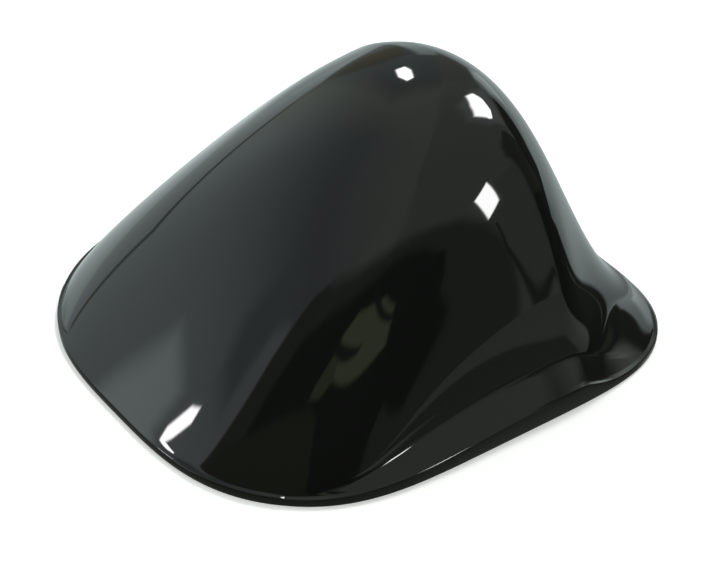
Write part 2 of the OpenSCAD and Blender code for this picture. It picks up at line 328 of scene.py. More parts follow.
class Surface:
    """The cowl's skin as a rule: p runs tail to front, q right to left, both -1 to 1."""

    # plan: how square the corners are at tail and front, the sides' fullness and the taper
    TAIL_SQUARE, FRONT_SQUARE = 3.15, 5.9
    TAIL_SIDE, FRONT_SIDE = 3.7, 5.43
    TAPER, TAPER_FROM = 0.026, 0.35
    # spine: fullness of the back, flare and slope of the front at its foot
    BACK_FULL, FRONT_FLARE, FOOT_SLOPE, FRONT_POWER = 1.08, 1.66, 0.2, 2.12
    # side shelf and its outer edge: where they are largest, and how far they reach each way
    SHELF_BELL = (0.29, 1.0, 0.452, 3)
    EDGE_BELL = (0.43, 0.843, 0.15, 2)
    # arch section, and how it flares at the front corners
    ARCH_POWER, ARCH_SHARE = 0.8, 0.53
    FLARE_FROM, CORNER_FLARE, CORNER_SLOPE = 0.438, 3.8, 0.15

    def __init__(self, s):
        self.s = s
        self.half_l, self.half_w = s.length / 2 / MM, s.width / 2 / MM
        self.rim = s.wall / MM + 0.1
        self.in_long, self.in_wide = self.rim / self.half_l, self.rim / self.half_w
        self.share = s.shelf_width / MM / self.half_w
        self.least = self.in_wide + 0.005
        self.lip = s.lip / MM
        self.crown = s.crown_height / MM
        self.at = s.crown_place

    @staticmethod
    def ease(x):
        x = np.clip(x, 0, 1)
        return x * x * (3 - 2 * x)

    @staticmethod
    def bell(x, at, back, front, power):
        return np.exp(-np.abs((x - at) / np.where(x < at, back, front)) ** power)

    def plan(self, p, q, inset):
        mx = self.TAIL_SQUARE + (self.FRONT_SQUARE - self.TAIL_SQUARE) * self.ease((p + 1) / 2)
        my = np.where(p < 0, self.TAIL_SIDE, self.FRONT_SIDE)
        x = (self.half_l - inset) * p * np.sqrt(1 - np.abs(q) ** mx / (1 + mx / 2))
        y = (self.half_w - inset) * q * (1 + self.TAPER * (p - self.TAPER_FROM)) \
            * np.sqrt(1 - np.abs(p) ** my / (1 + my / 2))
        return x, y

    def spine(self, p):
        at, low = self.at, self.lip
        full, flare, foot = self.BACK_FULL, self.FRONT_FLARE, self.FOOT_SLOPE
        t = np.maximum(0, at - p) / (1 + at)
        u = np.clip((p - at) / (1 - at), 0, 1)
        k = full * ((1 - at) / (1 + at)) ** 2 / ((1 - foot) * flare + foot)
        back = 1 - full * t ** 2 + (full - 1) * t ** 4
        f = np.maximum(0, 1 - k * u * u - (1 - k) * u ** self.FRONT_POWER)
        face = (1 - foot) * f ** flare + foot * f
        return low + (self.crown - low) * np.where(p < at, back, face)

    def shelf(self, p):
        return self.least + (self.share - self.least) * self.bell(p, *self.SHELF_BELL)

    def edge_z(self, p):
        return self.lip + (self.s.shelf_height / MM - self.lip) \
            * self.bell(p, *self.EDGE_BELL)

    def crease_z(self, p):
        return self.edge_z(p) + self.s.shelf_rise / MM * (self.shelf(p) - self.least) \
            / (self.share - self.least)

    def corner(self, p):
        return self.ease((p - self.FLARE_FROM) / (1 - self.FLARE_FROM))

    def arch_power(self, p):
        return self.ARCH_POWER + self.CORNER_FLARE * self.corner(p)

    def arch_z(self, p, e):
        drop = np.maximum(0, 1 - self.ARCH_SHARE * e ** 2 - (1 - self.ARCH_SHARE) * e ** 4)
        k = self.CORNER_SLOPE * self.corner(p)
        return np.maximum(0, self.spine(p) - self.crease_z(p)) \
            * ((1 - k) * drop ** self.arch_power(p) + k * drop)

    def arch_foot(self, p, h):
        rise = np.maximum(h, self.spine(p) - self.crease_z(p))
        v = np.minimum(1, (h / rise) ** (1 / self.arch_power(p)))
        a, b = self.ARCH_SHARE, 1 - self.ARCH_SHARE
        return np.sqrt(np.maximum(0, (np.sqrt(a * a + 4 * b * (1 - v)) - a) / (2 * b)))

    def half_section(self, p, arch, fillet, flat):
        f, z0 = self.shelf(p), self.crease_z(p)
        q0, fall = 1 - f, (self.edge_z(p) - z0) / f
        radius = self.s.crease / MM
        reach = radius / self.half_w
        e0 = np.maximum(self.arch_foot(p, radius), 1 - 1.5 * reach / q0)
        out = np.minimum(0.45 * (f - self.in_wide), reach)
        a = (e0 * q0, z0 + self.arch_z(p, e0))
        c = (q0, z0)
        d = (q0 + out, z0 + fall * out)
        b = (1 - self.in_wide + 0 * p, z0 + fall * (f - self.in_wide))
        rows = []
        for i in range(arch + 1):
            e = e0 * (1 - (1 - i / arch) ** 1.35)
            rows.append((e * q0, z0 + self.arch_z(p, e)))
        for i in range(1, fillet + 1):
            t = i / fillet
            rows.append(tuple((1 - t) ** 2 * a[k] + 2 * t * (1 - t) * c[k] + t * t * d[k]
                              for k in (0, 1)))
        for i in range(1, flat + 1):
            t = i / flat
            rows.append((d[0] + (b[0] - d[0]) * t, d[1] + (b[1] - d[1]) * t))
        return rows

    def grid(self, along, arch, fillet, flat):
        s = np.linspace(0, 1, along + 1)
        p = -1 + 2 * (s + 0.45 * s * (1 - s))
        half = self.half_section(p * (1 - self.in_long * np.abs(p) ** 8), arch, fillet, flat)
        half = [(a + self.in_wide * (a / (1 - self.in_wide)) ** 9, b) for a, b in half]
        n = len(half) - 1
        q = np.stack([np.sign(j) * half[abs(j)][0] for j in range(-n, n + 1)], axis=1)
        z = np.stack([half[abs(j)][1] + 0 * p for j in range(-n, n + 1)], axis=1)
        pp = np.repeat(p[:, None], 2 * n + 1, axis=1)
        return pp, q, z

    def skin(self, pp, q, z):
        a, b = pp ** 8, q ** 8
        x, y = self.plan(pp, q, self.rim * (a + b - a * b))
        return np.stack([x, y, z], axis=-1)


def skin_normals(g):
    n0, n1 = g.shape[:2]
    up = np.clip(np.arange(n0) + 1, 0, n0 - 1)
    dn = np.clip(np.arange(n0) - 1, 0, n0 - 1)
    rt = np.clip(np.arange(n1) + 1, 0, n1 - 1)
    lf = np.clip(np.arange(n1) - 1, 0, n1 - 1)
    du = g[up] - g[dn]
    dv = g[:, rt] - g[:, lf]
    for i in (0, n0 - 1):
        for j in (0, n1 - 1):
            du[i, j] = g[up[i], rt[j]] - g[dn[i], lf[j]]
            dv[i, j] = g[dn[i], rt[j]] - g[up[i], lf[j]]
    n = np.cross(du, dv)
    n /= np.maximum(np.linalg.norm(n, axis=-1, keepdims=True), 1e-12)
    return n * np.where(n[..., 2:3] < 0, -1, 1)


def shell_mesh(s, along=230, arch=56, fillet=10, flat=8, rolls=8):
    """Outer skin, edge of the rim, foot of the lip and inner skin in one closed mesh, in mm.
    Returns the points, the faces and which faces are the unpolished inner ones."""
    surf = Surface(s)
    pp, q, z = surf.grid(along, arch, fillet, flat)
    outer = surf.skin(pp, q, z)
    wall = s.wall / MM
    normals = skin_normals(outer)
    n0, n1 = outer.shape[:2]
    border = [(i, n1 - 1) for i in range(n0 - 1)] + [(n0 - 1, j) for j in range(n1 - 1, 0, -1)] \
        + [(i, 0) for i in range(n0 - 1, 0, -1)] + [(0, j) for j in range(n1 - 1)]
    bi, bj = np.array(border).T
    m = len(border)
    wide = max(3, m // 90)
    kernel = np.hanning(2 * wide + 1)
    kernel /= kernel.sum()

    def evened(v):
        """The values along the rim, evened out, so that its edge and corners stay fair."""
        return np.convolve(np.concatenate([v[-wide:], v, v[:wide]]), kernel, "valid")

    lean = np.column_stack([evened(v) for v in normals[bi, bj].T])
    normals[bi, bj] = lean / np.linalg.norm(lean, axis=1, keepdims=True)
    inner = outer - wall * normals
    start = outer[bi, bj]
    near = outer[np.clip(bi, 1, n0 - 2), np.clip(bj, 1, n1 - 2)]
    edge = np.stack(surf.plan(pp[bi, bj], q[bi, bj], 0), axis=-1)
    foot = np.stack(surf.plan(pp[bi, bj], q[bi, bj], wall), axis=-1)
    run = np.linalg.norm((near - start)[:, :2], axis=1)
    fall = np.maximum(0, near[:, 2] - start[:, 2]) / np.maximum(run, 0.08) * surf.rim
    least = 1.9
    fall = evened(np.minimum(fall, start[:, 2] - least))
    cz = np.maximum(start[:, 2] - fall, least)
    radius = s.edge / MM
    c = np.column_stack([edge, cz])
    back = start - c
    bend = c + back * np.minimum(0.9, radius / np.linalg.norm(back, axis=1))[:, None]
    low = np.column_stack([edge, cz - radius])
    rings = [0.5 * (start + bend)]
    for k in range(rolls + 1):
        t = k / rolls
        rings.append((1 - t) ** 2 * bend + 2 * t * (1 - t) * c + t * t * low)
    soft = 0.5
    out_dir = edge - foot
    out_dir /= np.linalg.norm(out_dir, axis=1, keepdims=True)
    rings.append(np.column_stack([edge, np.full(m, soft)]))
    rings.append(np.column_stack([edge - out_dir * soft * 0.3, np.full(m, soft * 0.3)]))
    rings.append(np.column_stack([edge - out_dir * soft, np.zeros(m)]))
    skin_rings = len(rings)
    rings.append(np.column_stack([foot, np.zeros(m)]))
    points = np.concatenate([outer.reshape(-1, 3), inner.reshape(-1, 3)] + rings)
    size = n0 * n1
    i, j = np.meshgrid(np.arange(n0 - 1), np.arange(n1 - 1), indexing="ij")
    a = (i * n1 + j).ravel()
    top = np.column_stack([a, a + n1, a + n1 + 1, a + 1])
    low_faces = top[:, ::-1] + size
    faces = [top, low_faces]
    mats = [np.zeros(len(top)), np.ones(len(low_faces))]
    ids = bi * n1 + bj
    loops = [ids] + [2 * size + k * m + np.arange(m) for k in range(len(rings))] + [ids + size]
    for k in range(len(loops) - 1):
        lo, hi = loops[k], loops[k + 1]
        faces.append(np.column_stack([lo, np.roll(lo, -1), np.roll(hi, -1), hi]))
        mats.append(np.full(m, 0 if k < skin_rings else 1))
    return points, np.concatenate(faces), np.concatenate(mats), surf


def roof_height(surf, x, y, drop):
    """Height of the inner face over the place (x, y), in mm."""
    p, q = x / surf.half_l, y / surf.half_w
    for _ in range(12):
        ax, ay = surf.plan(np.float64(p), np.float64(q), 0.0)
        p += (x - float(ax)) / surf.half_l
        q += (y - float(ay)) / surf.half_w
    f = float(surf.shelf(np.float64(p)))
    z0, z1 = float(surf.crease_z(np.float64(p))), float(surf.edge_z(np.float64(p)))
    e = abs(q) / (1 - f)
    if e <= 1:
        return z0 + float(surf.arch_z(np.float64(p), np.float64(e))) - drop
    return z0 + (z1 - z0) * (abs(q) - 1 + f) / f - drop


class COWL_OT_shell(bpy.types.Operator):
    """Build the moulded shell with its bosses and webs"""
    bl_idname = "cowl.shell"
    bl_label = "Moulded shell"

    def execute(self, context):
        s = shape()
        points, faces, mats, surf = shell_mesh(s)
        points = [list(p) for p in points]
        faces = [tuple(f) for f in faces]
        mats = list(mats)
        skin_faces = len(faces)
        for part in boss_parts(surf):
            at = len(points)
            points += [list(p) for p in part[0]]
            faces += [tuple(i + at for i in f) for f in outward(*part)]
            mats += [1] * len(part[1])
        obj = mesh_object("moulded_shell", np.array(points) * MM, faces,
                          [material("Gloss black skin"), material("Moulded inner face")], mats)
        obj.data.polygons.foreach_set("use_smooth", [k < skin_faces for k in range(len(faces))])
        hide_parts("cowl_shell")
        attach(obj, "root")
        return {"FINISHED"}


def outward(points, faces):
    """The faces, all turned round if they look into the piece."""
    middle = np.mean(points, axis=0)
    volume = 0.0
    for face in faces:
        corner = [np.asarray(points[i]) - middle for i in face]
        for one, two in zip(corner[1:], corner[2:]):
            volume += float(np.dot(corner[0], np.cross(one, two)))
    return faces if volume > 0 else [tuple(face[::-1]) for face in faces]


def boss_places():
    """Centres of the four bosses' seats, in metres, read from the stays' boxes."""
    lock = box_of("lock_stay")
    front = box_of("front_stay")
    x_lock = (lock[0].x + lock[1].x) / 2
    width = lock[1].x - lock[0].x
    x_front = front[0].x + width / 2
    y_lock = lock[1].y - width / 2
    y_front = front[1].y - width / 2
    z_lock, z_front = lock[1].z, front[1].z
    return [(x_front, s * y_front, z_front) for s in (-1, 1)], \
        [(x_lock, s * y_lock, z_lock) for s in (-1, 1)]


def boss_parts(surf):
    """Bosses as tubes that run up into the roof, with webs on the tall ones, in mm."""
    front, lock = boss_places()
    parts = []
    hole, r = 3.68, 6.2
    turns, steps = 72, 14
    fillet, fillet_from = 2.2, 0.86
    for place, tall in [(b, False) for b in front] + [(b, True) for b in lock]:
        x, y, z = (v / MM for v in place)
        flare = 0.54 if tall else 0
        bore = 9 if tall else 7
        rows = []
        for radius, key in ((0.0, "bore"), (hole, "bore"), (hole, 0.3), (hole + 0.3, 0.0),
                            (r - 0.5, 0.0), (r - 0.14, 0.14), (r, 0.5)):
            rows.append([(radius * math.cos(2 * math.pi * k / turns) + x,
                          radius * math.sin(2 * math.pi * k / turns) + y,
                          z + (bore if key == "bore" else key)) for k in range(turns)])
        for i in range(1, steps + 1):
            t = i / steps
            ring = []
            foot = fillet * max(0, (t - fillet_from) / (1 - fillet_from)) ** 2 if tall else 0
            for k in range(turns):
                c, sn = math.cos(2 * math.pi * k / turns), math.sin(2 * math.pi * k / turns)
                reach = r + flare * t + foot
                px, py = x + reach * c, y + reach * sn
                roof = roof_height(surf, px, py, surf.s.wall / MM * 0.75)
                ring.append((px, py, z + 0.5 + (roof - z - 0.5) * t))
            rows.append(ring)
        points = [p for row in rows for p in row]
        faces = []
        for i in range(len(rows) - 1):
            for k in range(turns):
                m = (k + 1) % turns
                faces.append((i * turns + k, (i + 1) * turns + k, (i + 1) * turns + m,
                              i * turns + m))
        parts.append((points, faces))
        if tall:
            for a in (45, 135, 225, 315):
                parts.append(web(surf, x, y, z, r, math.radians(a)))
    return parts


def web(surf, x, y, z, r, angle):
    """One thin web that widens upwards from a boss to the roof."""
    c, sn = math.cos(angle), math.sin(angle)
    steps, half = 16, 1.1
    above_seat, rise, widening = 4, 71, 21
    sunk = surf.s.wall / MM * 0.7
    root = (x + (r - 1) * c, y + (r - 1) * sn)
    root_roof = roof_height(surf, *root, sunk)
    points, faces = [], []
    for i in range(steps + 1):
        t = i / steps
        height = z + above_seat + rise * t
        reach = r + 1 + widening * t
        tip = (x + reach * c, y + reach * sn)
        tip_roof = roof_height(surf, *tip, sunk)
        for side in (-half, half):
            ox, oy = -sn * side, c * side
            points.append((root[0] + ox, root[1] + oy, min(height, root_roof)))
            points.append((tip[0] + ox, tip[1] + oy, min(height, tip_roof)))
    for i in range(steps):
        a, b = 4 * i, 4 * (i + 1)
        faces.append((a, a + 1, b + 1, b))
        faces.append((a + 2, b + 2, b + 3, a + 3))
        faces.append((a + 1, a + 3, b + 3, b + 1))
    faces.append((0, 2, 3, 1))
    return points, faces


class COWL_OT_screws(bpy.types.Operator):
    """Build the stay screws, one at each boss"""
    bl_idname = "cowl.screws"
    bl_label = "Stay screws"

    def execute(self, context):
        obj = scatter("stay_screw_set", screw_tree(), {"Shank Diameter": 0.005, "Pitch": 0.0008,
                                                       "Length": 0.0084, "Seat": 0.0025},
                      material("Zinc plate"))
        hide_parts("stay_screws")
        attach(obj, "root")
        return {"FINISHED"}


class COWL_OT_inserts(bpy.types.Operator):
    """Build the knurled brass inserts, one in each boss"""
    bl_idname = "cowl.inserts"
    bl_label = "Threaded inserts"

    def execute(self, context):
        obj = scatter("threaded_insert_set", insert_tree(), {"Radius": 0.0036, "Length": 0.006,
                                                             "Bore": 0.00255},
                      material("Turned brass"))
        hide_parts("threaded_inserts")
        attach(obj, "root")
        return {"FINISHED"}


def scatter(name, tree, values, mat):
    """Run a Geometry Nodes tree on one point for each boss and keep the result as a mesh."""
    front, lock = boss_places()
    mesh = bpy.data.meshes.new(name + "_points")
    mesh.from_pydata(front + lock, [], [])
    carrier = bpy.data.objects.new(name + "_points", mesh)
    bpy.context.scene.collection.objects.link(carrier)
    mod = carrier.modifiers.new("At each boss", "NODES")
    mod.node_group = tree
    ids = {item.name: item.identifier for item in tree.interface.items_tree
           if getattr(item, "in_out", "") == "INPUT"}
    for key, value in values.items():
        mod[ids[key]] = value
    mod[ids["Material"]] = mat
    depsgraph = bpy.context.evaluated_depsgraph_get()
    result = bpy.data.meshes.new_from_object(carrier.evaluated_get(depsgraph))
    carrier.modifiers.remove(mod)
    bpy.data.objects.remove(carrier)
    result.name = name
    if not result.polygons:
        raise RuntimeError(name + " came out empty")
    if not result.materials:
        result.materials.append(mat)
    tidy_mesh(result, 1e-7)
    obj = bpy.data.objects.new(name, result)
    bpy.context.scene.collection.objects.link(obj)
    return obj


def geometry_tree(name, sockets):
    tree = bpy.data.node_groups.new(name, "GeometryNodeTree")
    face = tree.interface
    face.new_socket("Geometry", in_out="INPUT", socket_type="NodeSocketGeometry")
    for label, default in sockets:
        item = face.new_socket(label, in_out="INPUT", socket_type="NodeSocketFloat")
        item.default_value = default
    face.new_socket("Material", in_out="INPUT", socket_type="NodeSocketMaterial")
    face.new_socket("Geometry", in_out="OUTPUT", socket_type="NodeSocketGeometry")
    ins = new_node(tree, "NodeGroupInput", (-900, 0))
    outs = new_node(tree, "NodeGroupOutput", (900, 0))
    return tree, ins, outs


def at_points(tree, ins, outs, pieces):
    """Join the pieces, set one copy on every point, realise them and give them a finish."""
    join = new_node(tree, "GeometryNodeJoinGeometry")
    for piece in pieces:
        tree.links.new(piece, join.inputs[0])
    place = new_node(tree, "GeometryNodeInstanceOnPoints")
    tree.links.new(ins.outputs["Geometry"], place.inputs["Points"])
    tree.links.new(join.outputs[0], place.inputs["Instance"])
    real = new_node(tree, "GeometryNodeRealizeInstances")
    tree.links.new(place.outputs[0], real.inputs[0])
    smooth = new_node(tree, "GeometryNodeSetShadeSmooth")
    smooth.inputs["Shade Smooth"].default_value = False
    tree.links.new(real.outputs[0], smooth.inputs[0])
    coat = new_node(tree, "GeometryNodeSetMaterial")
    tree.links.new(smooth.outputs[0], coat.inputs["Geometry"])
    tree.links.new(ins.outputs["Material"], coat.inputs["Material"])
    tree.links.new(coat.outputs[0], outs.inputs[0])


def solid_cone(tree, sides, low_r, high_r, depth, z):
    """A frustum whose radii and depth are numbers or sockets, standing at height z."""
    cone = new_node(tree, "GeometryNodeMeshCone", fill_type="NGON")
    cone.inputs["Vertices"].default_value = sides
    for key, value in (("Radius Bottom", low_r), ("Radius Top", high_r), ("Depth", depth)):
        if isinstance(value, (int, float)):
            cone.inputs[key].default_value = value
        else:
            tree.links.new(value, cone.inputs[key])
    move = new_node(tree, "GeometryNodeTransform")
    tree.links.new(cone.outputs["Mesh"], move.inputs["Geometry"])
    up = new_node(tree, "ShaderNodeCombineXYZ")
    if isinstance(z, (int, float)):
        up.inputs["Z"].default_value = z
    else:
        tree.links.new(z, up.inputs["Z"])
    tree.links.new(up.outputs[0], move.inputs["Translation"])
    return move.outputs[0]


def subtract(tree, body, tools):
    cut = new_node(tree, "GeometryNodeMeshBoolean", operation="DIFFERENCE", solver="EXACT")
    tree.links.new(body, cut.inputs["Mesh 1"])
    for tool in tools:
        tree.links.new(tool, cut.inputs["Mesh 2"])
    return cut.outputs["Mesh"]


def screw_tree():
    """Button head with a hexagon socket, a shank and a thread ridge, seen from below."""
    tree, ins, outs = geometry_tree("Button head screw", [
        ("Shank Diameter", 0.005), ("Pitch", 0.0008), ("Length", 0.0084), ("Seat", 0.0025)])
    d, seat, length = ins.outputs["Shank Diameter"], ins.outputs["Seat"], ins.outputs["Length"]
    # the head's tiers: share of the diameter below and above, foot and depth in mm
    tiers = []
    down = math_node(tree, "MULTIPLY", seat, -1.0)
    for low, high, z0, depth in ((0.60, 0.80, -2.8, 0.45), (0.80, 0.92, -2.35, 0.55),
                                 (0.92, 0.98, -1.8, 0.6), (0.98, 1.0, -1.2, 0.6),
                                 (1.0, 1.0, -0.6, 0.6)):
        z = math_node(tree, "ADD", down, z0 * MM)
        tiers.append(solid_cone(tree, 48, math_node(tree, "MULTIPLY", d, low),
                                math_node(tree, "MULTIPLY", d, high), depth * MM, z))
    union = new_node(tree, "GeometryNodeMeshBoolean", operation="UNION", solver="EXACT")
    for tier in tiers:
        tree.links.new(tier, union.inputs["Mesh 2"])
    socket = solid_cone(tree, 6, math_node(tree, "MULTIPLY", d, 0.35),
                        math_node(tree, "MULTIPLY", d, 0.35), 0.0026,
                        math_node(tree, "ADD", down, -0.0038))
    head = subtract(tree, union.outputs["Mesh"], [socket])
    shank = solid_cone(tree, 32, math_node(tree, "MULTIPLY", d, 0.46),
                       math_node(tree, "MULTIPLY", d, 0.46), length,
                       math_node(tree, "ADD", down, -0.0001))
    spiral = new_node(tree, "GeometryNodeCurveSpiral")
    spiral.inputs["Resolution"].default_value = 24
    spiral.inputs["Rotations"].default_value = 6.0
    half = math_node(tree, "MULTIPLY", d, 0.46)
    tree.links.new(half, spiral.inputs["Start Radius"])
    tree.links.new(half, spiral.inputs["End Radius"])
    rise = math_node(tree, "MULTIPLY", ins.outputs["Pitch"], 6.0)
    tree.links.new(rise, spiral.inputs["Height"])
    bead = new_node(tree, "GeometryNodeCurvePrimitiveCircle")
    bead.inputs["Resolution"].default_value = 3
    bead.inputs["Radius"].default_value = 0.00022
    ridge = new_node(tree, "GeometryNodeCurveToMesh")
    ridge.inputs["Fill Caps"].default_value = True
    tree.links.new(spiral.outputs[0], ridge.inputs["Curve"])
    tree.links.new(bead.outputs[0], ridge.inputs["Profile Curve"])
    lift = new_node(tree, "GeometryNodeTransform")
    lift.inputs["Translation"].default_value = (0, 0, 0.0006)
    tree.links.new(ridge.outputs[0], lift.inputs["Geometry"])
    at_points(tree, ins, outs, [head, shank, lift.outputs[0]])
    return tree


def insert_tree():
    """Brass sleeve with two knurled bands and an open bore."""
    tree, ins, outs = geometry_tree("Knurled insert", [
        ("Radius", 0.0036), ("Length", 0.006), ("Bore", 0.00255)])
    r, length, bore = ins.outputs["Radius"], ins.outputs["Length"], ins.outputs["Bore"]
    knurl_depth, knurl_width = 0.00035, 0.00048
    core_r = math_node(tree, "SUBTRACT", r, knurl_depth)
    sleeve = solid_cone(tree, 48, core_r, core_r, length, 0.0)
    drill = solid_cone(tree, 48, bore, bore, math_node(tree, "ADD", length, 0.002), -0.001)
    tube = subtract(tree, sleeve, [drill])
    pieces = [tube]
    rib = new_node(tree, "GeometryNodeMeshCube")
    ring = new_node(tree, "GeometryNodeMeshCircle")
    ring.inputs["Vertices"].default_value = 30
    tree.links.new(core_r, ring.inputs["Radius"])
    band = math_node(tree, "MULTIPLY", length, 0.34)
    size = new_node(tree, "ShaderNodeCombineXYZ")
    size.inputs["X"].default_value = knurl_width
    size.inputs["Y"].default_value = knurl_width
    tree.links.new(band, size.inputs["Z"])
    tree.links.new(size.outputs[0], rib.inputs["Size"])
    for share in (0.22, 0.78):
        spot = new_node(tree, "GeometryNodeInstanceOnPoints")
        tree.links.new(ring.outputs["Mesh"], spot.inputs["Points"])
        tree.links.new(rib.outputs["Mesh"], spot.inputs["Instance"])
        turn = new_node(tree, "FunctionNodeAlignRotationToVector", axis="X")
        where = new_node(tree, "GeometryNodeInputPosition")
        tree.links.new(where.outputs[0], turn.inputs["Vector"])
        tree.links.new(turn.outputs[0], spot.inputs["Rotation"])
        lift = new_node(tree, "GeometryNodeTransform")
        up = new_node(tree, "ShaderNodeCombineXYZ")
        tree.links.new(math_node(tree, "MULTIPLY", length, share), up.inputs["Z"])
        tree.links.new(up.outputs[0], lift.inputs["Translation"])
        tree.links.new(spot.outputs[0], lift.inputs["Geometry"])
        pieces.append(lift.outputs[0])
    at_points(tree, ins, outs, pieces)
    return tree


class COWL_OT_stays(bpy.types.Operator):
    """Finish the two steel stays and the rubber buffers, and add the striker's welds"""
    bl_idname = "cowl.stays"
    bl_label = "Stays and buffers"

    def execute(self, context):
        for node, mat in (("front_stay", "Coated steel"), ("lock_stay", "Coated steel"),
                          ("rubber_buffers", "Buffer rubber")):
            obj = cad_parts[node]
            if not obj.material_slots:
                obj.data.materials.append(material(mat))
            for slot in obj.material_slots:
                slot.material = material(mat)
        low, high = box_of("lock_stay")
        x = (low.x + high.x) / 2
        z = high.z - 0.0025
        half_span, leg_radius = 0.015, 0.0042
        around, tube = 72, 12
        points, faces = [], []
        for side in (-1, 1):
            at = len(points)
            for k in range(around):
                a = 2 * math.pi * k / around
                ripple = 0.0011 + 0.00018 * math.sin(a * 13) + 0.0001 * math.sin(a * 5 + 1)
                for m in range(tube):
                    b = 2 * math.pi * m / tube
                    r = leg_radius + ripple * math.cos(b)
                    points.append((x + r * math.cos(a), side * half_span + r * math.sin(a),
                                   z + ripple * 0.9 * math.sin(b)))
            for k in range(around):
                for m in range(tube):
                    k2, m2 = (k + 1) % around, (m + 1) % tube
                    faces.append((at + k * tube + m, at + k2 * tube + m,
                                  at + k2 * tube + m2, at + k * tube + m2))
        obj = mesh_object("striker_welds", points, faces, [material("Coated steel")])
        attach(obj, "root")
        return {"FINISHED"}


# Studio

def direction(azimuth, elevation, base):
    """Unit vector for an azimuth and elevation measured from the camera's side."""
    a, e = math.radians(base), math.radians(elevation)
    back = Vector((math.sin(a), -math.cos(a), 0))
    right = Vector((math.cos(a), math.sin(a), 0))
    b = math.radians(azimuth)
    flat = back * math.cos(b) + right * math.sin(b)
    return (flat * math.cos(e) + Vector((0, 0, math.sin(e)))).normalized()


# Tints of the room's walls, cloth and boards
ROOM = (0.97, 1.09, 0.93)
CLOTH = (0.90, 1.04, 1.03)
OLIVE = (1.05, 1.18, 0.72)
BROWN = (1.08, 1.06, 0.80)
CEILING = 0.56
# The pale sweep: its border, and its level at its foot, where it is brightest, where it is
# darkest and at its top, with smooth changes between
SWEEP = (13.0, ((-149, -90), (-149, 74), (-40, 74), (-40, -90)))
SWEEP_LEVELS = ((-2, 0.81), (21, 0.98), (57, 0.44), (68, 0.50))
